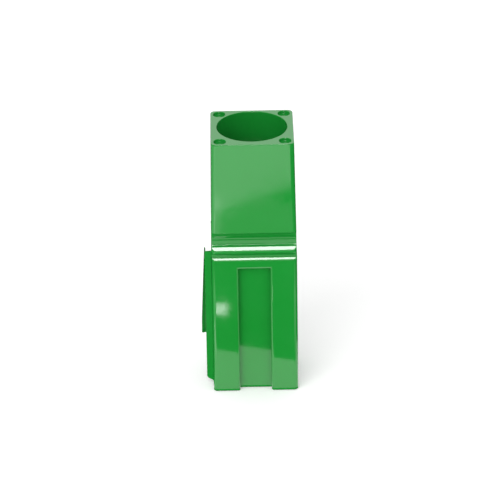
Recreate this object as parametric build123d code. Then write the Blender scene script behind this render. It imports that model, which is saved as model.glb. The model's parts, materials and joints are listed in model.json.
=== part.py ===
from build123d import *
import math
import os

# Single-pole modular cable connector: a one-piece moulded housing, a copper contact with a crimp
# barrel, and the stainless leaf spring that holds the contact in and presses it on its mate.
#
# Millimetres. +Z runs from the mating end up to the cable entry, and the origin is the centre of the
# mating end. The hood is the -Y half of the mating end, and the contact tray is the +Y half, so two
# alike connectors plug together when one is turned half round about X.
# The -Y and +X faces carry dovetail slots, and the -X and +Y faces carry the tongues that fit them.

# Outer body
body_width = 24.4            # square section of the mating half
body_corner = 1.1            # radius of its upright edges
total_length = 78.0          # mating end to cable entry
neck_step = 0.1              # each side of the neck above the body is this much further in
cable_foot_z = 50.5          # where the drafted cable half starts
cable_draft = 0.4            # each side of the cable half leans in by this much at its top
cable_corner = 1.4           # radius of the cable half's upright edges at the top
rim_round = 0.5              # outer edge of the cable entry
foot_round = 0.3             # outer edge of the mating end

# Grooves across the front and back faces
pin_groove_radius = 2.45     # half of the hole that a locking pin fills between two housings
relief_groove_radius = 0.85  # the small groove that ends the body
relief_groove_z = 43.25

# Cable entry and barrel chamber
bore_offset_y = 0.7          # the bore sits nearer the back, over the tray
entry_wall = 1.7             # around the entry at the top, before the offset
entry_lip = 0.3              # rounded mouth of the entry
entry_clearance = 0.5        # the entry's full bore stops this far above the contact's barrel
well_step = 0.3              # the well around the barrel is this much smaller in radius
well_foot_rise = 5.5         # the well stops this far above the pin grooves
chamber_step = 1.8           # the chamber is this much smaller in radius than the entry
web_thickness = 7.0          # between the hood's cavity and the chamber

# Marks that the ejector pins leave in the corners of the cable entry's face
ejector_mark_radius = 1.7
ejector_mark_depth = 0.8
ejector_mark_inset = 2.5     # from the outer faces to a mark's centre

# Mating end
mating_depth = 29.0
fit_gap = 0.3                # between any two surfaces that slide past each other on mating
hood_front_wall = 3.6
hood_side_wall = 3.0
left_wall_reach = 5.2        # how far the left wall passes the middle in its upper half
right_wall_reach = 6.4
tray_wall = 1.8
tray_floor = 2.0
tray_lead_in = 0.5

# Stacking pads, tongues and slots
pad_height = 1.9
pad_half_width = 8.5         # at the body's face, where its 45 degree flanks start
pad_foot_z = 1.5
pad_foot_bevel = 0.6         # on its outer lower edge
pad_top_z = 43.6             # at the pad's front edge, from where its top falls towards the other edge
pad_top_slope = 0.55
slot_depth = 2.0
slot_mouth_half_width = 4.6  # at its narrowest
slot_mouth_round = 0.7       # radius of the slot's two long edges
slot_undercut = 0.6          # how far each flank leans out per millimetre of depth
slot_top_z = 39.0
tongue_side_gap = 0.12       # clearance of a tongue in a slot, each side
tongue_top_gap = 0.4         # a tongue stops this far below a slot's top
tongue_height = 1.25         # above the pad
side_tongue_top_height = 0.2  # the side tongue is a wedge that runs out towards its top
side_tongue_foot_rise = 0.35  # above the step in the side wall

# Contact
contact_side_gap = 0.3       # beside the blade in its trough
contact_thickness = 3.0
contact_stand_out = 0.6      # how far its mating face stands past the middle plane
contact_front_gap = 0.6      # before the blade in the web's passage
hook_side_step = 1.0         # the hook is this much narrower than the blade on each side
hook_back_gap = 1.3          # between the hook's end and the trough's floor
nose_z = 2.9
nose_bend_radius = 2.0       # of the sheet's middle line
shoulder_floor_gap = 0.5     # the blade starts to swell this far above the chamber's floor
shoulder_height = 6.0        # from the flat blade to the round barrel
barrel_gap = 0.45            # around the barrel in its chamber
barrel_wall = 2.05
barrel_length = 19.5
conductor_depth = 18.5
conductor_lead_in = 0.6

# Leaf spring
spring_thickness = 0.8
spring_side_step = 0.8       # the leaf is this much narrower than the blade on each side
spring_crown_gap = 0.15      # between the crown's corner and the contact's back
spring_crown_z = 12.0
spring_crown_radius = 7.0
spring_tip_gap = 1.0         # from the hook up to the leaf's free end
spring_tip_drop = 0.7        # the free end leans back from the crown by this much
spring_root_height = 6.5
spring_root_top_gap = 0.7    # below the chamber's floor
spring_root_bend = 5.0
spring_bend_drop = 1.25      # from the root plate's foot down to the corner that the bend rounds
spring_floor_gap = 0.1
root_wing = 0.6              # the root plate reaches into each guide by this much
guide_side_gap = 0.2
guide_height = 1.4
guide_top_gap = 0.2          # below the chamber's floor

far = 40.0                   # longer than any cut needs to be
seam = 0.2                   # how far joined solids reach into each other

half_body = body_width / 2
neck_width = body_width - 2 * neck_step
half_neck = neck_width / 2
cable_top_width = neck_width - 2 * cable_draft
pin_groove_z = cable_foot_z - pin_groove_radius
chamber_floor_z = mating_depth + web_thickness

entry_radius = cable_top_width / 2 - entry_wall
well_radius = entry_radius - well_step
chamber_radius = entry_radius - chamber_step
barrel_radius = chamber_radius - barrel_gap
shoulder_foot_z = chamber_floor_z + shoulder_floor_gap
barrel_foot_z = shoulder_foot_z + shoulder_height
barrel_top_z = barrel_foot_z + barrel_length
entry_foot_z = barrel_top_z + entry_clearance
well_foot_z = cable_foot_z + well_foot_rise

cavity_half_width = half_body - hood_side_wall
cavity_front_y = -(half_body - hood_front_wall)
tray_half_width = cavity_half_width - fit_gap
tray_back_y = half_body - hood_front_wall - fit_gap
bridge_z = mating_depth / 2 + fit_gap / 2
trough_half_width = tray_half_width - tray_wall
trough_floor_y = tray_back_y - tray_floor

pad_face = half_body + pad_height
tongue_top_z = slot_top_z - tongue_top_gap
slot_corner_angle = math.pi / 2 - math.atan(slot_undercut)
slot_corner = slot_mouth_half_width + slot_mouth_round - slot_mouth_round / math.tan(slot_corner_angle / 2)

contact_half_width = trough_half_width - contact_side_gap
contact_face_y = -contact_stand_out
contact_middle_y = contact_face_y + contact_thickness / 2
contact_back_y = contact_face_y + contact_thickness
spring_half_width = contact_half_width - spring_side_step
spring_root_top_z = chamber_floor_z - spring_root_top_gap
spring_root_foot_z = spring_root_top_z - spring_root_height
root_half_width = trough_half_width + root_wing
guide_half_width = root_half_width + guide_side_gap


def block(x0, x1, y0, y1, z0, z1):
    """A box between two corners."""
    return Pos((x0 + x1) / 2, (y0 + y1) / 2, (z0 + z1) / 2) * Box(x1 - x0, y1 - y0, z1 - z0)


def rod(radius, y, z0, z1, x=0):
    """An upright cylinder."""
    return Pos(x, y, (z0 + z1) / 2) * Cylinder(radius, z1 - z0)


def square_section(width, corner, z):
    return Pos(0, 0, z) * RectangleRounded(width, width, corner)


def upright_prism(points, z0, z1):
    """A prism along Z whose outline has the corners given."""
    outline = make_face(Polyline(*[(x, y, z0) for x, y in points], close=True))
    return extrude(outline, z1 - z0, dir=(0, 0, 1))


def bent_sheet(line, thickness, half_width):
    """A sheet of even thickness whose middle line lies in the YZ plane."""
    edge_on = trace(Plane.YZ.to_local_coords(line), thickness)
    return extrude(Plane.YZ * edge_on, half_width, both=True)


def side_prism(points, x0, x1):
    """A prism along X whose outline has the (y, z) corners given."""
    outline = make_face(Polyline(*[(x0, y, z) for y, z in points], close=True))
    return extrude(outline, x1 - x0, dir=(1, 0, 0))


def body_blank():
    """The outside of the housing, before anything is added to it or cut from it."""
    body = extrude(square_section(body_width, body_corner, 0), relief_groove_z)
    body = fillet(body.faces().sort_by(Axis.Z)[0].edges(), foot_round)
    neck_foot_z = relief_groove_z - seam
    neck = extrude(square_section(neck_width, body_corner, neck_foot_z), cable_foot_z - neck_foot_z)
    cable_half = loft([
        square_section(neck_width, body_corner, cable_foot_z),
        square_section(cable_top_width, cable_corner, total_length),
    ], ruled=True)
    cable_half = fillet(cable_half.faces().sort_by(Axis.Z)[-1].edges(), rim_round)
    return body + neck + cable_half


def stacking_pad():
    """The raised pad on the -X face, which a neighbour's face rests against."""
    top_half_width = pad_half_width - pad_height
    pad = upright_prism([
        (-half_body + seam, -pad_half_width - seam),
        (-pad_face, -top_half_width),
        (-pad_face, top_half_width),
        (-half_body + seam, pad_half_width + seam),
    ], pad_foot_z, pad_top_z)
    return chamfer(pad.edges().filter_by(Axis.Y).group_by(Axis.Z)[0].sort_by(Axis.X)[0], pad_foot_bevel)


def tongue_section(height, z):
    """The outline at one height of the dovetail tongue on the -X pad."""
    root = slot_corner - tongue_side_gap
    inner = root - slot_undercut * seam
    outer = root + slot_undercut * height
    return make_face(Polyline(
        (seam - pad_face, -inner, z), (-pad_face - height, -outer, z),
        (-pad_face - height, outer, z), (seam - pad_face, inner, z), close=True))


def tongue(foot_z, top_height):
    foot = tongue_section(tongue_height, foot_z)
    top = tongue_section(top_height, tongue_top_z)
    return loft([foot, top], ruled=True)


def above_slant():
    """All that is above the slanted top of the -X pad and its tongue."""
    reach = pad_half_width + far
    rise = pad_top_slope * far
    fall = pad_top_slope * (pad_half_width + reach)
    ceiling = pad_top_z + far
    outline = [(-reach, pad_top_z + rise), (reach, pad_top_z - fall), (reach, ceiling), (-reach, ceiling)]
    return side_prism(outline, -far, -half_body)


def stacking_slot():
    """The cut of the dovetail slot in the -Y face, open at the mating end."""
    mouth = slot_mouth_half_width + slot_mouth_round + seam
    floor = slot_corner + slot_undercut * slot_depth
    face_y = -half_body
    outer_y = face_y - seam
    floor_y = face_y + slot_depth
    outline = make_face(Polyline(
        (-mouth, outer_y, slot_top_z), (mouth, outer_y, slot_top_z), (mouth, face_y, slot_top_z),
        (slot_corner, face_y, slot_top_z), (floor, floor_y, slot_top_z), (-floor, floor_y, slot_top_z),
        (-slot_corner, face_y, slot_top_z), (-mouth, face_y, slot_top_z), close=True))
    corners = [v for v in outline.vertices() if abs(abs(v.X) - slot_corner) < 1e-6]
    return extrude(fillet(corners, slot_mouth_round), slot_top_z + far, dir=(0, 0, -1))


def cross_groove(radius, y, z):
    """The cut of a half-round groove along X in the front or back face."""
    return Pos(0, y, z) * Rot(0, 90, 0) * Cylinder(radius, far)


def partner_space():
    """What the mating connector fills or needs: the hood's cavity, and all that isn't hood behind it."""
    half_gap = fit_gap / 2
    space = block(-cavity_half_width, cavity_half_width, cavity_front_y, far, -far, mating_depth)
    for side, reach in ((-1, left_wall_reach), (1, right_wall_reach)):
        x0, x1 = sorted((side * far, side * (cavity_half_width - seam)))
        space += block(x0, x1, -reach - half_gap, far, -far, bridge_z)
        space += block(x0, x1, reach - half_gap, far, bridge_z - seam, mating_depth)
    return space


def contact_tray():
    """The tray behind the contact, with the bridges that tie it to the hood's side walls."""
    tray = block(-tray_half_width, tray_half_width, fit_gap, tray_back_y, 0, mating_depth + seam)
    tray = chamfer(tray.faces().sort_by(Axis.Z)[0].edges(), tray_lead_in)
    for side in (-1, 1):
        x0, x1 = sorted((side * (tray_half_width - seam), side * (cavity_half_width + seam)))
        tray += block(x0, x1, fit_gap, left_wall_reach - fit_gap / 2, bridge_z, mating_depth + seam)
    return tray


def contact_way():
    """The trough for the contact and spring, its passage through the web, and the bores above it."""
    above_floor_z = chamber_floor_z + seam
    trough = block(-trough_half_width, trough_half_width, fit_gap - seam, trough_floor_y, -far, above_floor_z)
    passage = block(-trough_half_width, trough_half_width, contact_face_y - contact_front_gap,
                    trough_floor_y, mating_depth - seam, above_floor_z)
    guides = block(-guide_half_width, guide_half_width, trough_floor_y - guide_height, trough_floor_y,
                   -far, chamber_floor_z - guide_top_gap)
    cone_height = well_radius - chamber_radius
    cone_middle_z = well_foot_z - cone_height / 2
    cone = Pos(0, bore_offset_y, cone_middle_z) * Cone(chamber_radius, well_radius, cone_height)
    chamber = rod(chamber_radius, bore_offset_y, chamber_floor_z, well_foot_z)
    well = rod(well_radius, bore_offset_y, well_foot_z, entry_foot_z)
    entry = rod(entry_radius, bore_offset_y, entry_foot_z, total_length + far)
    return trough + passage + guides + chamber + cone + well + entry


def ejector_marks():
    centre = cable_top_width / 2 - ejector_mark_inset
    foot_z = total_length - ejector_mark_depth
    return [rod(ejector_mark_radius, y, foot_z, total_length + far, x)
            for x in (-centre, centre) for y in (-centre, centre)]


def housing():
    side_tongue = tongue(bridge_z + side_tongue_foot_rise, side_tongue_top_height)
    back_tongue = tongue(mating_depth, tongue_height)
    side_rail = stacking_pad() + side_tongue - above_slant()
    back_rail = stacking_pad() + back_tongue - above_slant()
    moulding = body_blank() + side_rail + Rot(0, 0, -90) * back_rail
    for side in (-1, 1):
        moulding -= cross_groove(pin_groove_radius, side * half_neck, pin_groove_z)
        moulding -= cross_groove(relief_groove_radius, side * half_body, relief_groove_z)
    moulding -= stacking_slot()
    moulding -= Rot(0, 0, 90) * stacking_slot()
    moulding -= partner_space()
    moulding += contact_tray()
    moulding -= contact_way()
    moulding -= ejector_marks()
    top_face = moulding.faces().filter_by(Axis.Z).sort_by(Axis.Z)[-1]
    mouth = top_face.edges().filter_by(GeomType.CIRCLE).sort_by(SortBy.RADIUS)[-1]
    return fillet(mouth, entry_lip)


def contact():
    """Blade with a hooked nose, swelling through a flattened shoulder into the crimp barrel."""
    nose_middle_z = nose_z + contact_thickness / 2
    line = FilletPolyline(
        (0, contact_middle_y, shoulder_foot_z), (0, contact_middle_y, nose_middle_z),
        (0, trough_floor_y - hook_back_gap, nose_middle_z), radius=nose_bend_radius)
    blade = bent_sheet(line, contact_thickness, contact_half_width)
    for side in (-1, 1):
        x0, x1 = sorted((side * (contact_half_width - hook_side_step), side * far))
        blade -= block(x0, x1, contact_back_y, far, -far, far)
    shoulder = loft([
        Pos(0, contact_middle_y, shoulder_foot_z) * Rectangle(2 * contact_half_width, contact_thickness),
        Pos(0, bore_offset_y, barrel_foot_z) * Circle(barrel_radius),
    ])
    conductor_radius = barrel_radius - barrel_wall
    barrel = rod(barrel_radius, bore_offset_y, barrel_foot_z, barrel_top_z)
    barrel -= rod(conductor_radius, bore_offset_y, barrel_top_z - conductor_depth, barrel_top_z + far)
    top_face = barrel.faces().filter_by(Axis.Z).sort_by(Axis.Z)[-1]
    mouth = top_face.edges().sort_by(SortBy.RADIUS)[0]
    return blade + shoulder + chamfer(mouth, conductor_lead_in)


def contact_spring():
    """A flat root plate in the guides, then a bowed leaf whose free end stops above the contact's hook."""
    root_y = trough_floor_y - spring_floor_gap - spring_thickness / 2
    crown_y = contact_back_y + spring_crown_gap + spring_thickness / 2
    tip_z = nose_z + contact_thickness + spring_tip_gap
    line = FilletPolyline(
        (0, root_y, spring_root_top_z), (0, root_y, spring_root_foot_z - spring_bend_drop),
        (0, crown_y, spring_crown_z), (0, crown_y + spring_tip_drop, tip_z),
        radius=(spring_root_bend, spring_crown_radius))
    leaf = bent_sheet(line, spring_thickness, spring_half_width)
    half_sheet = spring_thickness / 2
    plate = block(-root_half_width, root_half_width, root_y - half_sheet, root_y + half_sheet,
                  spring_root_foot_z, spring_root_top_z)
    return leaf + plate


os.makedirs("parts", exist_ok=True)
for make in (housing, contact, contact_spring):
    shape = make()
    export_step(shape, f"parts/{make.__name__}.step")
    print(f"{make.__name__}: {len(shape.solids())} solid, {shape.volume:.0f} mm3")
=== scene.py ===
import bpy
import bmesh
import json
import math
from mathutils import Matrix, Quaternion, Vector


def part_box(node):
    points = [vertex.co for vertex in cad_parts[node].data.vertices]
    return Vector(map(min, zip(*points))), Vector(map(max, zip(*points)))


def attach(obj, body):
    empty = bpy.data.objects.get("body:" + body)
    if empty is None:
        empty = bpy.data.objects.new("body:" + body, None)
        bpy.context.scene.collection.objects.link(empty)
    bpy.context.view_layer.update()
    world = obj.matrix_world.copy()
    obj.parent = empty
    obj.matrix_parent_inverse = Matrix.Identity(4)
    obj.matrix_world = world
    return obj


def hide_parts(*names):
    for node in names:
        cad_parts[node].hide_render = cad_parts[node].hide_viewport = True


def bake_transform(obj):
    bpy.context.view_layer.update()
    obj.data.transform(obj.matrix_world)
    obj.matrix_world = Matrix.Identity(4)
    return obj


# Single-pole modular power connector, standing on its mating end with the cable entry up.
# Sizes in the dictionaries are millimetres, places come from the frame and its mounts.
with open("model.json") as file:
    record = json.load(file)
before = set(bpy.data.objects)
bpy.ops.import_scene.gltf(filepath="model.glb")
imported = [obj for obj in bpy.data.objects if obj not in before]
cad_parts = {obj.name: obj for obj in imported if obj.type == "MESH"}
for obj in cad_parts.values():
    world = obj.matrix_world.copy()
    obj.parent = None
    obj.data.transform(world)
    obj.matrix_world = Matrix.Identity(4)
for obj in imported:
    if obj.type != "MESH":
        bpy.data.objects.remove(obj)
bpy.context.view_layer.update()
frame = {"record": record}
print("frame loaded")

mm = 0.001
mounts = {m["name"]: m for m in frame["record"]["mounts"]}
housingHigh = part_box("housing")[1] / mm
contactLow, contactHigh = (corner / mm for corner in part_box("contact"))
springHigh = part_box("contact_spring")[1] / mm

shaping = {
    "merge": 0.002, "flatAngle": 0.3,           # what counts as one vertex, and as one flat face
    "bevelAngle": 35, "smoothAngle": 40,        # sharper edges are rounded, and softer ones shaded smooth
}


def mountPlace(name):
    return Vector(mounts[name]["pos_m"]) / mm


# small tools for modelling, all in millimetres

def chooseOnly(piece):
    if bpy.context.object and bpy.context.object.mode != "OBJECT":
        bpy.ops.object.mode_set(mode="OBJECT")
    bpy.ops.object.select_all(action="DESELECT")
    if piece:
        piece.select_set(True)
        bpy.context.view_layer.objects.active = piece


def settle(piece):
    # place, turn and size go into the mesh
    chooseOnly(piece)
    bpy.ops.object.transform_apply(location=True, rotation=True, scale=True)
    return piece


def addBox(low, high):
    low, high = Vector(low), Vector(high)
    chooseOnly(None)
    bpy.ops.mesh.primitive_cube_add(size=1, location=(low + high) / 2, scale=high - low)
    return settle(bpy.context.object)


def addRod(radius, middle, length, sides, turn=(0, 0, 0)):
    chooseOnly(None)
    bpy.ops.mesh.primitive_cylinder_add(vertices=sides, radius=radius, depth=length,
                                        location=middle, rotation=turn)
    return settle(bpy.context.object)


def pick(piece, kind, test):
    # edit mode, with the parts of this kind that pass the test selected
    chooseOnly(piece)
    bpy.ops.object.mode_set(mode="EDIT")
    bpy.ops.mesh.select_mode(type=kind)
    bpy.ops.mesh.select_all(action="DESELECT")
    mesh = bmesh.from_edit_mesh(piece.data)
    for part in {"VERT": mesh.verts, "EDGE": mesh.edges, "FACE": mesh.faces}[kind]:
        if test(part):
            part.select_set(True)
    mesh.select_flush(True)
    bmesh.update_edit_mesh(piece.data)


def near(value, target, slack=0.02):
    return abs(value - target) < slack


def isUpright(edge):
    a, b = (v.co for v in edge.verts)
    return (a - b).length > 0 and abs((a - b).normalized().z) > 0.999


def move(x=0, y=0, z=0):
    bpy.ops.transform.translate(value=(x, y, z))


def stretch(x=1, y=1, z=1, centre=(0, 0, 0)):
    bpy.ops.transform.resize(value=(x, y, z), center_override=centre)


def pull(x=0, y=0, z=0):
    # extrude what is selected
    bpy.ops.mesh.extrude_region_move(TRANSFORM_OT_translate={"value": (x, y, z)})


def combine(piece, other, how):
    chooseOnly(piece)
    step = piece.modifiers.new(how, "BOOLEAN")
    step.operation, step.object, step.solver = how, other, "EXACT"
    bpy.ops.object.modifier_apply(modifier=step.name)
    bpy.data.objects.remove(other)


def roundEdges(piece, width, segments):
    # doubles and needless vertices go first, so that the bevels run clean
    pick(piece, "VERT", lambda v: True)
    bpy.ops.mesh.remove_doubles(threshold=shaping["merge"])
    bpy.ops.mesh.dissolve_limited(angle_limit=math.radians(shaping["flatAngle"]), delimit={"NORMAL"})
    bpy.ops.object.mode_set(mode="OBJECT")
    step = piece.modifiers.new("edges", "BEVEL")
    step.width, step.segments, step.limit_method = width, segments, "ANGLE"
    step.angle_limit, step.use_clamp_overlap = math.radians(shaping["bevelAngle"]), False
    bpy.ops.object.modifier_apply(modifier=step.name)


def finish(piece, name, body, slot, material, *nodes):
    # from millimetres to the frame's metres, smooth shading, and its place in the frame
    piece.scale = (mm, mm, mm)
    settle(piece)
    bpy.ops.object.shade_smooth_by_angle(angle=math.radians(shaping["smoothAngle"]))
    step = piece.modifiers.new("even shading", "WEIGHTED_NORMAL")
    step.keep_sharp = True
    bpy.ops.object.modifier_apply(modifier=step.name)
    piece.name = piece.data.name = name
    piece.data.materials.clear()
    piece.data.materials.append(material)
    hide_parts(*nodes)
    if body:
        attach(piece, body)
    print(name, len(piece.data.vertices), "vertices")


# small tools for materials

def hexColour(text):
    # sRGB hex to linear
    parts = [int(text[i:i + 2], 16) / 255 for i in (0, 2, 4)]
    return tuple(p / 12.92 if p <= 0.04045 else ((p + 0.055) / 1.055) ** 2.4 for p in parts) + (1,)


def per(size):
    # texture scale that gives features of this size in millimetres
    return 1 / (size * mm)


def newMaterial(name):
    material = bpy.data.materials.new(name)
    material.use_nodes = True
    return material, material.node_tree, material.node_tree.nodes["Principled BSDF"]


def addNode(tree, kind, settings=None, links=None):
    made = tree.nodes.new("ShaderNode" + kind)
    for name, value in (settings or {}).items():
        if isinstance(name, int) or name in made.inputs:
            made.inputs[name].default_value = value
        else:
            setattr(made, name, value)
    for name, source in (links or {}).items():
        tree.links.new(source, made.inputs[name])
    return made


def rangeOf(seen, made):
    # settings that spread the part of a pattern between two values over two others
    return {"From Min": seen[0], "From Max": seen[1], "To Min": made[0], "To Max": made[1]}


def setRamp(ramp, *stops):
    band = ramp.color_ramp
    while len(band.elements) < len(stops):
        band.elements.new(0.5)
    for element, (place, colour) in zip(band.elements, stops):
        element.position, element.color = place, colour


greenPlastic = {
    "deep": "188a2f", "light": "1d8d34",        # dye in the clear resin, seen through its gloss
    "cloudSize": 16, "cloud": (0.35, 0.68),
    "ior": 1.585, "roughness": (0.07, 0.12), "hazeSize": 3.5, "haze": (0.4, 0.7),
    "rubSize": 0.35, "rub": (0.66, 0.8), "rubRoughness": (0, 0.16), "rubLean": (0.05, 0.03, 0),
    "rubStretch": (1, 1, 0.03),
    "waveSize": 17, "waveHeight": 0.03, "peelSize": 0.9, "peelHeight": 0.0012,
}


def makeGreenPlastic():
    # Polycarbonate, injection moulded in a polished tool and dyed right through: deep even colour
    # under a hard clear gloss, with a trace of orange peel and a slow wave where thick walls shrank.
    material, tree, shader = newMaterial("polishedPolycarbonate")
    g, place = greenPlastic, addNode(tree, "TexCoord").outputs["Object"]
    cloud = addNode(tree, "TexNoise", {"Scale": per(g["cloudSize"]), "Detail": 2.0}, {"Vector": place})
    ramp = addNode(tree, "ValToRGB", links={"Fac": cloud.outputs["Fac"]})
    setRamp(ramp, (g["cloud"][0], hexColour(g["deep"])), (g["cloud"][1], hexColour(g["light"])))
    tree.links.new(ramp.outputs["Color"], shader.inputs["Base Color"])
    haze = addNode(tree, "TexNoise", {"Scale": per(g["hazeSize"]), "Detail": 5.0, "Roughness": 0.6},
                   {"Vector": place})
    gloss = addNode(tree, "MapRange", rangeOf(g["haze"], g["roughness"]), {"Value": haze.outputs["Fac"]})
    # thin rubbed lines where housings slid along each other, drawn wider than real so that they show
    along = addNode(tree, "Mapping", {"Rotation": g["rubLean"], "Scale": g["rubStretch"]}, {"Vector": place})
    rubs = addNode(tree, "TexNoise", {"Scale": per(g["rubSize"]), "Detail": 2.0},
                   {"Vector": along.outputs["Vector"]})
    rubbed = addNode(tree, "MapRange", rangeOf(g["rub"], g["rubRoughness"]), {"Value": rubs.outputs["Fac"]})
    worn = addNode(tree, "Math", {"operation": "ADD"},
                   {0: gloss.outputs["Result"], 1: rubbed.outputs["Result"]})
    tree.links.new(worn.outputs["Value"], shader.inputs["Roughness"])
    wave = addNode(tree, "TexNoise", {"Scale": per(g["waveSize"]), "Detail": 1.0}, {"Vector": place})
    slow = addNode(tree, "Bump", {"Strength": 1.0, "Distance": g["waveHeight"] * mm},
                   {"Height": wave.outputs["Fac"]})
    peel = addNode(tree, "TexNoise", {"Scale": per(g["peelSize"]), "Detail": 2.0}, {"Vector": place})
    fine = addNode(tree, "Bump", {"Strength": 1.0, "Distance": g["peelHeight"] * mm},
                   {"Height": peel.outputs["Fac"], "Normal": slow.outputs["Normal"]})
    tree.links.new(fine.outputs["Normal"], shader.inputs["Normal"])
    shader.inputs["IOR"].default_value = g["ior"]
    return material


silverPlate = {
    "bright": "d9d6cd", "tarnished": "b3a88f", "patchSize": 5, "patches": (0.45, 0.72),
    "lineSize": 0.25, "lineStretch": (1, 1, 0.03), "lines": (0.3, 0.7), "lineHeight": 0.004,
    "roughness": (0.22, 0.4),
}


def makeSilverPlate():
    # Copper with a matt silver plate: soft grey-white metal that yellows in patches as it tarnishes,
    # drawn along its length when the tube was flattened.
    material, tree, shader = newMaterial("silverPlatedCopper")
    m, place = silverPlate, addNode(tree, "TexCoord").outputs["Object"]
    patches = addNode(tree, "TexNoise", {"Scale": per(m["patchSize"]), "Detail": 6.0, "Roughness": 0.65},
                      {"Vector": place})
    ramp = addNode(tree, "ValToRGB", links={"Fac": patches.outputs["Fac"]})
    setRamp(ramp, (m["patches"][0], hexColour(m["bright"])), (m["patches"][1], hexColour(m["tarnished"])))
    tree.links.new(ramp.outputs["Color"], shader.inputs["Base Color"])
    drawn = addNode(tree, "Mapping", {"Scale": m["lineStretch"]}, {"Vector": place})
    lines = addNode(tree, "TexNoise", {"Scale": per(m["lineSize"]), "Detail": 3.0},
                    {"Vector": drawn.outputs["Vector"]})
    gloss = addNode(tree, "MapRange", rangeOf(m["lines"], m["roughness"]), {"Value": lines.outputs["Fac"]})
    tree.links.new(gloss.outputs["Result"], shader.inputs["Roughness"])
    bump = addNode(tree, "Bump", {"Strength": 1.0, "Distance": m["lineHeight"] * mm},
                   {"Height": lines.outputs["Fac"]})
    tree.links.new(bump.outputs["Normal"], shader.inputs["Normal"])
    shader.inputs["Metallic"].default_value = 1.0
    return material


springSteel = {
    "light": "b9babd", "dark": "8f9093", "shades": (0.35, 0.65),
    "lineSize": 0.2, "lineStretch": (1, 1, 0.02), "lines": (0.3, 0.7), "roughness": (0.2, 0.34),
}


def makeSpringSteel():
    # Cold-rolled stainless strip: cool grey with fine rolling lines along its length.
    material, tree, shader = newMaterial("rolledStainlessStrip")
    m, place = springSteel, addNode(tree, "TexCoord").outputs["Object"]
    drawn = addNode(tree, "Mapping", {"Scale": m["lineStretch"]}, {"Vector": place})
    lines = addNode(tree, "TexNoise", {"Scale": per(m["lineSize"]), "Detail": 4.0},
                    {"Vector": drawn.outputs["Vector"]})
    ramp = addNode(tree, "ValToRGB", links={"Fac": lines.outputs["Fac"]})
    setRamp(ramp, (m["shades"][0], hexColour(m["dark"])), (m["shades"][1], hexColour(m["light"])))
    tree.links.new(ramp.outputs["Color"], shader.inputs["Base Color"])
    gloss = addNode(tree, "MapRange", rangeOf(m["lines"], m["roughness"]), {"Value": lines.outputs["Fac"]})
    tree.links.new(gloss.outputs["Result"], shader.inputs["Roughness"])
    shader.inputs["Metallic"].default_value = 1.0
    return material


housingSizes = {
    "half": housingHigh.x, "length": housingHigh.z,
    "corner": 1.1, "cableCorner": 1.4, "cornerSteps": 6,
    "neckStep": 0.1, "stepReach": 0.25, "cableDraft": 0.4, "cableFoot": 50.0,
    "pinRadius": 2.45, "pinSides": 96, "reliefRadius": 0.85, "reliefSides": 48, "reliefZ": 43.25,
    "grooveRun": 60,                            # cutters run out past both sides
    "edge": 0.22, "edgeSteps": 3,
}


def addRoundedSquare(half, corner, z):
    # one outline of the body, as a loop of edges with no face
    chooseOnly(None)
    bpy.ops.mesh.primitive_plane_add(size=2 * half, location=(0, 0, z))
    ring = settle(bpy.context.object)
    pick(ring, "VERT", lambda v: True)
    bpy.ops.mesh.bevel(offset=corner, segments=housingSizes["cornerSteps"], affect="VERTICES")
    bpy.ops.mesh.select_all(action="SELECT")
    bpy.ops.mesh.delete(type="ONLY_FACE")
    bpy.ops.object.mode_set(mode="OBJECT")
    return ring


def joinPieces(pieces):
    chooseOnly(pieces[0])
    for piece in pieces:
        piece.select_set(True)
    bpy.ops.object.join()
    return bpy.context.object


def makeBlank():
    s = housingSizes
    neck = s["half"] - s["neckStep"]
    levels = [(s["half"], s["corner"], 0), (s["half"], s["corner"], s["reliefZ"] - s["stepReach"]),
              (neck, s["corner"], s["reliefZ"] + s["stepReach"]), (neck, s["corner"], s["cableFoot"]),
              (neck - s["cableDraft"], s["cableCorner"], s["length"])]
    blank = joinPieces([addRoundedSquare(*level) for level in levels])
    for (_, _, foot), (_, _, top) in zip(levels, levels[1:]):
        pick(blank, "EDGE", lambda e: all(near(v.co.z, foot) or near(v.co.z, top) for v in e.verts)
             and near(e.verts[0].co.z, e.verts[1].co.z))
        bpy.ops.mesh.bridge_edge_loops()
    for end in (0, s["length"]):
        pick(blank, "EDGE", lambda e: all(near(v.co.z, end) for v in e.verts))
        bpy.ops.mesh.edge_face_add()
    bpy.ops.mesh.select_all(action="SELECT")
    bpy.ops.mesh.normals_make_consistent(inside=False)
    return blank


railSizes = {
    "padHeight": 1.9, "padHalf": 8.5, "padFoot": 1.5, "padBevel": 0.6, "padTop": 43.6, "padSlope": 0.55,
    "tongueHeight": 1.25, "tongueRoot": 3.943, "undercut": 0.6, "tongueTop": 38.6, "tongueRound": 0.5,
    "sink": 0.2, "spare": 1.0, "roundSteps": 4,             # sunk into the body, and cut from taller
    "rampTop": 0.2, "sideFootGap": 0.35, "backFootDrop": 3.0,
}


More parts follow.
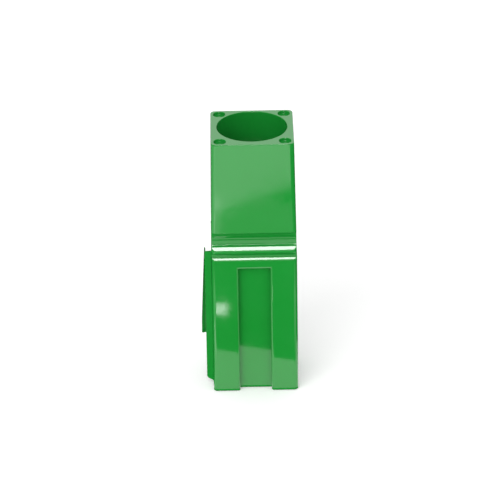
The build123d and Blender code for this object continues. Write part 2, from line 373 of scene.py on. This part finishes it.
def addRail(tongueFoot, tongueTopHeight):
    # stacking pad and dovetail tongue on the left face
    s, half = railSizes, housingSizes["half"]
    face = half + s["padHeight"]
    wide, narrow = s["padHalf"] + s["sink"], s["padHalf"] - s["padHeight"]
    pad = addBox((-face, -wide, s["padFoot"]), (-half + s["sink"], wide, s["padTop"] + s["spare"]))
    pick(pad, "VERT", lambda v: near(v.co.x, -face))
    stretch(y=narrow / wide)
    bpy.ops.mesh.select_all(action="SELECT")
    bpy.ops.mesh.bisect(plane_co=(0, -s["padHalf"], s["padTop"]), plane_no=(0, s["padSlope"], 1),
                        use_fill=True, clear_outer=True)
    pick(pad, "EDGE", lambda e: all(near(v.co.x, -face) and near(v.co.z, s["padFoot"]) for v in e.verts))
    bpy.ops.mesh.bevel(offset=s["padBevel"], segments=s["roundSteps"], affect="EDGES")

    rootHalf = s["tongueRoot"] - s["undercut"] * s["sink"]
    tipHalf = s["tongueRoot"] + s["undercut"] * s["tongueHeight"]
    tip = -face - s["tongueHeight"]
    tongue = addBox((tip, -rootHalf, tongueFoot), (-face + s["sink"], rootHalf, s["tongueTop"]))
    pick(tongue, "VERT", lambda v: near(v.co.x, tip))
    stretch(y=tipHalf / rootHalf)
    topHalf = s["tongueRoot"] + s["undercut"] * tongueTopHeight
    pick(tongue, "VERT", lambda v: near(v.co.x, tip) and near(v.co.z, s["tongueTop"]))
    move(x=s["tongueHeight"] - tongueTopHeight)
    stretch(y=topHalf / tipHalf)
    pick(tongue, "EDGE", lambda e: all(near(v.co.x, tip) and near(v.co.z, tongueFoot) for v in e.verts))
    bpy.ops.mesh.bevel(offset=s["tongueRound"], segments=s["roundSteps"], affect="EDGES")
    combine(pad, tongue, "UNION")
    return pad


slotSizes = {
    "corner": 4.063, "depth": 2.0, "undercut": 0.6, "top": 39.0,
    "runOut": 1.0,                              # the cutter stands this far out of the face and the end
    "mouthTangent": 1.237, "mouthSteps": 8,
}


def addSlotTool():
    # dovetail slot in the front face, run out past the face and the mating end
    s, half = slotSizes, housingSizes["half"]
    slope = s["undercut"] / s["corner"]
    tool = addBox((-s["corner"], -half, -s["runOut"]), (s["corner"], -half + s["depth"], s["top"]))
    pick(tool, "VERT", lambda v: near(v.co.y, -half + s["depth"]))
    stretch(x=1 + slope * s["depth"])
    pick(tool, "FACE", lambda f: near(f.normal.y, -1))
    pull(y=-s["runOut"])
    stretch(x=1 - slope * s["runOut"])
    bpy.ops.object.mode_set(mode="OBJECT")
    return tool


def roundMouths(moulding):
    s, half = slotSizes, housingSizes["half"]
    pick(moulding, "EDGE", lambda e: isUpright(e) and all(
        (near(abs(v.co.x), s["corner"]) and near(v.co.y, -half))
        or (near(abs(v.co.y), s["corner"]) and near(v.co.x, half)) for v in e.verts))
    bpy.ops.mesh.bevel(offset=s["mouthTangent"], segments=s["mouthSteps"], affect="EDGES")
    bpy.ops.object.mode_set(mode="OBJECT")


def quarterTurn(piece, turns):
    piece.rotation_euler = (0, 0, math.radians(90) * turns)
    return settle(piece)


hoodSizes = {
    "matingDepth": 29.0, "gap": 0.3, "frontWall": 3.6, "sideWall": 3.0, "leftReach": 5.2, "rightReach": 6.4,
    "trayWall": 1.8, "trayFloor": 2.0, "leadIn": 0.5, "web": 7.0, "passageFront": -1.2,
    "guideHalf": 7.9, "guideHeight": 1.4, "guideTopGap": 0.2,
    "leadInSteps": 2, "overlap": 0.2, "clear": 40,      # cutters run well past the mating end
}


def cutHood(moulding):
    # the hood's cavity, and all behind it that the mating connector needs
    s, half = hoodSizes, housingSizes["half"]
    far, depth, lap = s["clear"], s["matingDepth"], s["overlap"]
    bridge = depth / 2 + s["gap"] / 2
    inside = half - s["sideWall"]
    front = s["frontWall"] - half
    combine(moulding, addBox((-inside, front, -far), (inside, far, depth)), "DIFFERENCE")
    for side, reach in ((-1, s["leftReach"]), (1, s["rightReach"])):
        left, right = sorted((side * far, side * (inside - lap)))
        low = addBox((left, -reach - s["gap"] / 2, -far), (right, far, bridge))
        high = addBox((left, reach - s["gap"] / 2, bridge - lap), (right, far, depth))
        combine(moulding, low, "DIFFERENCE")
        combine(moulding, high, "DIFFERENCE")
    return inside, bridge


def addTray(moulding, inside, bridge):
    s, half, lap = hoodSizes, housingSizes["half"], hoodSizes["overlap"]
    wide = inside - s["gap"]
    back = half - s["frontWall"] - s["gap"]
    top = s["matingDepth"] + lap
    tray = addBox((-wide, s["gap"], 0), (wide, back, top))
    pick(tray, "EDGE", lambda e: all(near(v.co.z, 0) for v in e.verts))
    bpy.ops.mesh.bevel(offset=s["leadIn"], segments=s["leadInSteps"], affect="EDGES")
    for side in (-1, 1):
        left, right = sorted((side * (wide - lap), side * (inside + lap)))
        tie = addBox((left, s["gap"], bridge), (right, s["leftReach"] - s["gap"] / 2, top))
        combine(tray, tie, "UNION")
    combine(moulding, tray, "UNION")
    return wide, back


boreSizes = {
    "wellStep": 0.3, "wellRise": 5.5, "chamberStep": 1.8, "entryGap": 0.5, "runOut": 1.0, "sides": 128,
}


def cutWay(moulding, trayHalf, trayBack):
    # trough for the blade, passage through the web, and the bores above
    s, b, far, lap = hoodSizes, boreSizes, hoodSizes["clear"], hoodSizes["overlap"]
    entry = mountPlace("cable_entry")
    radius = mounts["cable_entry"]["dims"]["r_mm"]
    chamberFloor = s["matingDepth"] + s["web"]
    wide = trayHalf - s["trayWall"]
    floor = trayBack - s["trayFloor"]
    guideTop = chamberFloor - s["guideTopGap"]
    for low, high in (
            ((-wide, s["gap"] - lap, -far), (wide, floor, chamberFloor + lap)),
            ((-wide, s["passageFront"], s["matingDepth"] - lap), (wide, floor, chamberFloor + lap)),
            ((-s["guideHalf"], floor - s["guideHeight"], -far), (s["guideHalf"], floor, guideTop))):
        combine(moulding, addBox(low, high), "DIFFERENCE")
    wellFoot = housingSizes["cableFoot"] + b["wellRise"]
    entryFoot = contactHigh.z + b["entryGap"]
    well, chamber = radius - b["wellStep"], radius - b["chamberStep"]
    cone = well - chamber
    top = housingSizes["length"] + b["runOut"]
    chooseOnly(None)
    bpy.ops.mesh.primitive_circle_add(vertices=b["sides"], radius=radius, fill_type="NGON",
                                      location=(0, entry.y, top))
    bore = settle(bpy.context.object)
    pick(bore, "FACE", lambda f: True)
    reached, height = radius, top
    for nextRadius, z in ((radius, entryFoot), (well, entryFoot), (well, wellFoot),
                          (chamber, wellFoot - cone), (chamber, chamberFloor)):
        pull(z=z - height)
        stretch(nextRadius / reached, nextRadius / reached, 1, (0, entry.y, z))
        reached, height = nextRadius, z
    bpy.ops.mesh.select_all(action="SELECT")
    bpy.ops.mesh.normals_make_consistent(inside=False)
    combine(moulding, bore, "DIFFERENCE")


lipSizes = {
    "from": 0.68, "to": 1.25, "room": 0.6,      # shares of the groove's radius
    "reliefLift": 0.2, "reliefGrow": 0.3,       # the small groove's slope starts higher and runs longer
}


def easeLip(moulding, side, y, z, radius):
    # the groove's lower side runs out in a flat slope, not round to a knife edge
    s, runOut = lipSizes, housingSizes["stepReach"]
    deep = Vector((y - side * s["from"] * radius, z - s["from"] * radius))
    share = runOut / (s["from"] * radius)
    out = Vector((y + side * runOut, z - s["to"] * radius - share * (s["to"] - s["from"]) * radius))
    run = out - deep
    lean = math.atan2(run.y, side * run.x)
    up = Vector((-side * math.sin(lean), math.cos(lean))) * s["room"] * radius
    middle = (deep + out + up) / 2
    chooseOnly(None)
    bpy.ops.mesh.primitive_cube_add(size=1, location=(0, middle.x, middle.y), rotation=(side * lean, 0, 0),
                                    scale=(housingSizes["grooveRun"], run.length, up.length))
    combine(moulding, settle(bpy.context.object), "DIFFERENCE")


def cutGrooves(moulding):
    # half of the locking pin's hole, and a small groove below it, on the front and the back
    s, across = housingSizes, (0, math.radians(90), 0)
    for name, side in (("pin_groove_front", -1), ("pin_groove_back", 1)):
        pin, relief = mountPlace(name), Vector((0, side * s["half"], s["reliefZ"]))
        for radius, middle, sides in ((s["pinRadius"], pin, s["pinSides"]),
                                      (s["reliefRadius"], relief, s["reliefSides"])):
            combine(moulding, addRod(radius, middle, s["grooveRun"], sides, across), "DIFFERENCE")
        easeLip(moulding, side, pin.y, pin.z, s["pinRadius"])
        easeLip(moulding, side, relief.y, relief.z + lipSizes["reliefLift"],
                s["reliefRadius"] + lipSizes["reliefGrow"])


markSizes = {"radius": 1.7, "depth": 0.8, "inset": 2.5, "cutter": 4.0, "sides": 48}


def cutMarks(moulding):
    # ejector pins leave a round dent in each corner of the top
    s, m = housingSizes, markSizes
    centre = s["half"] - s["neckStep"] - s["cableDraft"] - m["inset"]
    middle = s["length"] - m["depth"] + m["cutter"] / 2
    for x in (-centre, centre):
        for y in (-centre, centre):
            combine(moulding, addRod(m["radius"], (x, y, middle), m["cutter"], m["sides"]), "DIFFERENCE")


def makeHousing(material):
    s, r, hood = housingSizes, railSizes, hoodSizes
    moulding = makeBlank()
    combine(moulding, addSlotTool(), "DIFFERENCE")
    combine(moulding, quarterTurn(addSlotTool(), 1), "DIFFERENCE")
    roundMouths(moulding)
    bridgeZ = hood["matingDepth"] / 2 + hood["gap"] / 2
    combine(moulding, addRail(bridgeZ + r["sideFootGap"], r["rampTop"]), "UNION")
    backRail = addRail(hood["matingDepth"] - r["backFootDrop"], r["tongueHeight"])
    combine(moulding, quarterTurn(backRail, -1), "UNION")
    cutGrooves(moulding)
    inside, bridge = cutHood(moulding)
    trayHalf, trayBack = addTray(moulding, inside, bridge)
    cutWay(moulding, trayHalf, trayBack)
    cutMarks(moulding)
    roundEdges(moulding, s["edge"], s["edgeSteps"])
    for vertex in moulding.data.vertices:       # no bevel corner stands proud of the flat faces
        vertex.co.x, vertex.co.y = min(vertex.co.x, s["half"]), max(vertex.co.y, -s["half"])
    finish(moulding, "housingMoulding", "housing", "housing_plastic", material, "housing")


contactSizes = {
    "halfWidth": 6.8, "thickness": 3.0, "shoulderFoot": 36.5, "barrelFoot": 42.5, "leadIn": 0.6,
    "standOut": 0.6, "hookEnd": 5.0, "bendRadius": 2.0, "bendSteps": 10, "sideStep": 1.0, "perSide": 16,
    "shoulderCuts": 6, "edge": 0.2, "edgeSteps": 2,
    "stepDrop": 1.0, "clear": 20, "low": -5,    # the notches' top, and cutters well clear of the blade
}
bladeBack = contactSizes["thickness"] - contactSizes["standOut"]


def makeContact(material):
    s = contactSizes
    barrel = mounts["conductor_barrel"]
    axisY, bore = mountPlace("conductor_barrel").y, barrel["dims"]["r_mm"]
    boreFoot = mountPlace("conductor_barrel").z - barrel["dims"]["length_mm"] / 2
    outer, top = contactHigh.x, contactHigh.z
    middleY = bladeBack - s["thickness"] / 2

    # barrel, drawn up from its foot, over the rim and down the bore
    chooseOnly(None)
    bpy.ops.mesh.primitive_circle_add(vertices=4 * s["perSide"], radius=outer,
                                      location=(0, axisY, s["barrelFoot"]))
    tube = settle(bpy.context.object)
    pick(tube, "EDGE", lambda e: True)
    reached, height = outer, s["barrelFoot"]
    for radius, z in ((outer, top), (bore + s["leadIn"], top), (bore, top - s["leadIn"]),
                      (bore, boreFoot)):
        pull(z=z - height)
        stretch(radius / reached, radius / reached, 1, (0, axisY, z))
        reached, height = radius, z
    bpy.ops.mesh.edge_face_add()

    # blade, from the rectangle under the shoulder down to the bend and round it
    chooseOnly(None)
    bpy.ops.mesh.primitive_plane_add(size=1, location=(0, middleY, s["shoulderFoot"]))
    blade = bpy.context.object
    blade.scale = (2 * s["halfWidth"], s["thickness"], 1)
    settle(blade)
    pick(blade, "FACE", lambda f: True)
    bpy.ops.mesh.subdivide(number_cuts=s["perSide"] - 1)
    bpy.ops.mesh.region_to_loop()
    bpy.ops.mesh.select_mode(type="VERT")
    bpy.ops.mesh.select_all(action="INVERT")
    bpy.ops.mesh.delete(type="VERT")
    blade = joinPieces([tube, blade])
    pick(blade, "EDGE", lambda e: near(e.verts[0].co.z, e.verts[1].co.z)
         and (near(e.verts[0].co.z, s["shoulderFoot"])
              or near(e.verts[0].co.z, s["barrelFoot"])))
    bpy.ops.mesh.bridge_edge_loops(number_cuts=s["shoulderCuts"])
    bendTop = contactLow.z + s["thickness"] / 2 + s["bendRadius"]
    pick(blade, "EDGE", lambda e: all(near(v.co.z, s["shoulderFoot"]) for v in e.verts))
    pull(z=bendTop - s["shoulderFoot"])
    bpy.ops.mesh.spin(steps=s["bendSteps"], angle=math.radians(-90), axis=(1, 0, 0),
                      center=(0, middleY + s["bendRadius"], bendTop))
    pull(y=s["hookEnd"] - middleY - s["bendRadius"])
    bpy.ops.mesh.edge_face_add()
    bpy.ops.mesh.select_all(action="SELECT")
    bpy.ops.mesh.remove_doubles(threshold=shaping["merge"])
    bpy.ops.mesh.normals_make_consistent(inside=False)
    bpy.ops.object.mode_set(mode="OBJECT")
    for side in (-1, 1):
        left, right = sorted((side * (s["halfWidth"] - s["sideStep"]), side * s["clear"]))
        notch = addBox((left, bladeBack, s["low"]), (right, s["clear"], s["shoulderFoot"] - s["stepDrop"]))
        combine(blade, notch, "DIFFERENCE")
    roundEdges(blade, s["edge"], s["edgeSteps"])
    finish(blade, "powerContact", "contact", "plated_copper", material, "contact")


springSizes = {
    "thickness": 0.8, "halfWidth": 6.0, "rootFoot": 28.8, "rootBend": 5.0, "bendDrop": 1.25,
    "crownZ": 12.0, "crownRadius": 7.0, "crownGap": 0.15, "tipGap": 1.0, "tipDrop": 0.7,
    "legParts": 4, "tipParts": 2, "bendSteps": 10, "wingCorner": 0.6, "wingSteps": 4,
    "edge": 0.1, "edgeSteps": 2, "bendReach": 1.5,
}


def makeSpring(material):
    s = springSizes
    half = s["thickness"] / 2
    rootY = springHigh.y - half
    crownY = bladeBack + s["crownGap"] + half
    tipZ = contactLow.z + contactSizes["thickness"] + s["tipGap"]
    corners = [Vector((rootY, s["rootFoot"])), Vector((rootY, s["rootFoot"] - s["bendDrop"])),
               Vector((crownY, s["crownZ"])), Vector((crownY + s["tipDrop"], tipZ))]
    # the strip's outline at the top of its root, drawn down past its wings and through two bends
    chooseOnly(None)
    bpy.ops.mesh.primitive_plane_add(size=1, location=(0, rootY, springHigh.z))
    strip = bpy.context.object
    strip.scale = (2 * s["halfWidth"], s["thickness"], 1)
    settle(strip)
    pick(strip, "FACE", lambda f: True)
    bpy.ops.mesh.delete(type="ONLY_FACE")
    pick(strip, "EDGE", lambda e: True)
    pull(z=s["rootFoot"] - springHigh.z)
    place = corners[0]
    radii = (s["rootBend"], s["crownRadius"])
    for before, corner, after, radius in zip(corners, corners[1:], corners[2:], radii):
        arrive, leave = (corner - before).normalized(), (after - corner).normalized()
        turn = arrive.angle_signed(leave)
        tangent = radius * math.tan(abs(turn) / 2)
        bendStart = corner - arrive * tangent
        straight = (bendStart - place) / s["legParts"]
        for _ in range(s["legParts"]):
            pull(y=straight.x, z=straight.y)
        aside = Vector((-arrive.y, arrive.x)) * (-1 if turn > 0 else 1)
        centre = bendStart + aside * radius
        bpy.ops.mesh.spin(steps=s["bendSteps"], angle=turn, axis=(1, 0, 0),
                          center=(0, centre.x, centre.y))
        place = corner + leave * tangent
    rest = (corners[-1] - place) / s["tipParts"]
    for _ in range(s["tipParts"]):
        pull(y=rest.x, z=rest.y)
    bpy.ops.mesh.edge_face_add()
    pick(strip, "EDGE", lambda e: all(near(v.co.z, springHigh.z) for v in e.verts))
    bpy.ops.mesh.edge_face_add()
    bpy.ops.mesh.select_all(action="SELECT")
    bpy.ops.mesh.normals_make_consistent(inside=False)
    for side in (-1, 1):
        pick(strip, "FACE", lambda f: near(f.normal.x, side) and f.calc_center_median().z > s["rootFoot"])
        pull(x=side * (springHigh.x - s["halfWidth"]))
    pick(strip, "EDGE", lambda e: all(near(abs(v.co.x), springHigh.x) for v in e.verts)
         and near(e.verts[0].co.z, e.verts[1].co.z))
    bpy.ops.mesh.bevel(offset=s["wingCorner"], segments=s["wingSteps"], affect="EDGES")
    roundEdges(strip, s["edge"], s["edgeSteps"])
    finish(strip, "leafSpring", None, "spring_steel", material, "contact_spring")
    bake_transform(strip)


makeHousing(makeGreenPlastic())
makeContact(makeSilverPlate())
makeSpring(makeSpringSteel())


cameraSizes = {
    "aim": (0, 0, 0.039), "distance": 1.1, "azimuth": -0.538, "elevation": 26.62, "roll": -0.854,
    "lens": 275.67, "sensor": 36, "shift": (-0.007456, 0.001476), "near": 0.05, "far": 20,
}


def makeCamera():
    s = cameraSizes
    turn, rise = math.radians(s["azimuth"]), math.radians(s["elevation"])
    back = Vector((math.sin(turn) * math.cos(rise), -math.cos(turn) * math.cos(rise), math.sin(rise)))
    camera = bpy.data.objects.new("camera", bpy.data.cameras.new("camera"))
    bpy.context.scene.collection.objects.link(camera)
    camera.location = Vector(s["aim"]) + back * s["distance"]
    camera.rotation_mode = "QUATERNION"
    level = (-back).to_track_quat("-Z", "Y")
    camera.rotation_quaternion = level @ Quaternion((0, 0, 1), math.radians(s["roll"]))
    camera.data.lens, camera.data.sensor_width = s["lens"], s["sensor"]
    camera.data.shift_x, camera.data.shift_y = s["shift"]
    camera.data.clip_start, camera.data.clip_end = s["near"], s["far"]
    bpy.context.scene.camera = camera


def makeLight(name, place, aim, size, radiance, glossy, turn=0):
    # a rectangular lamp of this brightness, seen in the gloss or else lighting the colour
    lamp = bpy.data.lights.new(name, "AREA")
    lamp.shape, lamp.size, lamp.size_y = "RECTANGLE", size[0], size[1]
    lamp.energy = radiance * math.pi * size[0] * size[1]
    light = bpy.data.objects.new(name, lamp)
    bpy.context.scene.collection.objects.link(light)
    light.location = place
    light.rotation_mode = "QUATERNION"
    facing = (Vector(aim) - Vector(place)).to_track_quat("-Z", "Y")
    light.rotation_quaternion = Quaternion((0, 0, 1), math.radians(turn)) @ facing
    light.visible_camera = False
    light.visible_glossy, light.visible_diffuse = glossy, not glossy


studioSizes = {                                 # metres
    "sky": 0.75, "floorSize": 8, "floorDrop": 0.0002, "paper": 0.93, "paperGlow": 0.22,
    "keyPlace": (-0.5, -1.2, 1.1), "keyAim": (0, 0, 0.04), "keySize": (1.2, 1.2), "key": 3.2,
}

# white cards that only the gloss sees: name, place, size, brightness, turn, and what it faces if not up
studioCards = [
    ("overheadStrip", (0, -0.155, 0.55), (0.12, 0.12), 17, 0, (0, -0.155, 0)),  # whitens the grooves' lips
    ("frontCard", (0, -1.5, 0.95), (1.2, 1.5), 1.3, 0, (0, 0, 0.05)),           # pales their hollows
    ("backCard", (0, 1.0, 0.45), (1.6, 1.0), 1.3, 0, (0, 0, 0.08)),             # mirrored in the top
    ("nearCard", (-0.004, -0.0205, 0.0006), (0.09, 0.026), 1.45, 18.4, None),
    ("farCard", (-0.04, -0.196, 0.0012), (0.24, 0.13), 1.75, -38, None),
    ("hazeCard", (0, -0.128, 0.0006), (0.1, 0.03), 0.45, 0, None),
    ("edgeCard", (-0.03, -0.13, 0.0008), (0.04, 0.04), 1.0, 0, None),
    ("leftCard", (-0.2225, -0.05, 0.0008), (0.235, 0.3), 0.7, 0, None),
    ("slotCardLeft", (-0.045, -0.05, 0.0008), (0.05, 0.045), 0.9, 0, None),
    ("slotCardRight", (0.045, -0.05, 0.0008), (0.05, 0.045), 0.9, 0, None),
    ("glintCard", (-0.010, -0.0615, 0.001), (0.0045, 0.007), 8, 0, None),
]


def makeStudio():
    s, scene = studioSizes, bpy.context.scene
    scene.view_settings.view_transform = "Standard"
    scene.world = world = bpy.data.worlds.new("paleRoom")
    world.use_nodes = True
    background = world.node_tree.nodes["Background"]
    background.inputs["Color"].default_value = (1, 1, 1, 1)
    background.inputs["Strength"].default_value = s["sky"]
    world.cycles_visibility.glossy = False
    chooseOnly(None)
    bpy.ops.mesh.primitive_plane_add(size=s["floorSize"], location=(0, 0, -s["floorDrop"]))
    floor = bpy.context.object
    floor.name = "paleFloor"
    # matt white paper lit a little from below, so that it stays near white with a faint shadow
    material, tree, shader = newMaterial("paleMattPaper")
    shader.inputs["Base Color"].default_value = (s["paper"], s["paper"], s["paper"], 1)
    shader.inputs["Emission Color"].default_value = (1, 1, 1, 1)
    shader.inputs["Emission Strength"].default_value = s["paperGlow"]
    shader.inputs["Roughness"].default_value = 1.0
    shader.inputs["Specular IOR Level"].default_value = 0.0
    floor.data.materials.append(material)
    floor.visible_glossy = False
    for name, place, size, radiance, turn, aim in studioCards:
        above = (place[0], place[1], 1)
        makeLight(name, place, aim or above, size, radiance, True, turn)
    # broad soft light that gives the colour its body
    makeLight("softKey", s["keyPlace"], s["keyAim"], s["keySize"], s["key"], False)


makeCamera()
makeStudio()
print("studio ready")
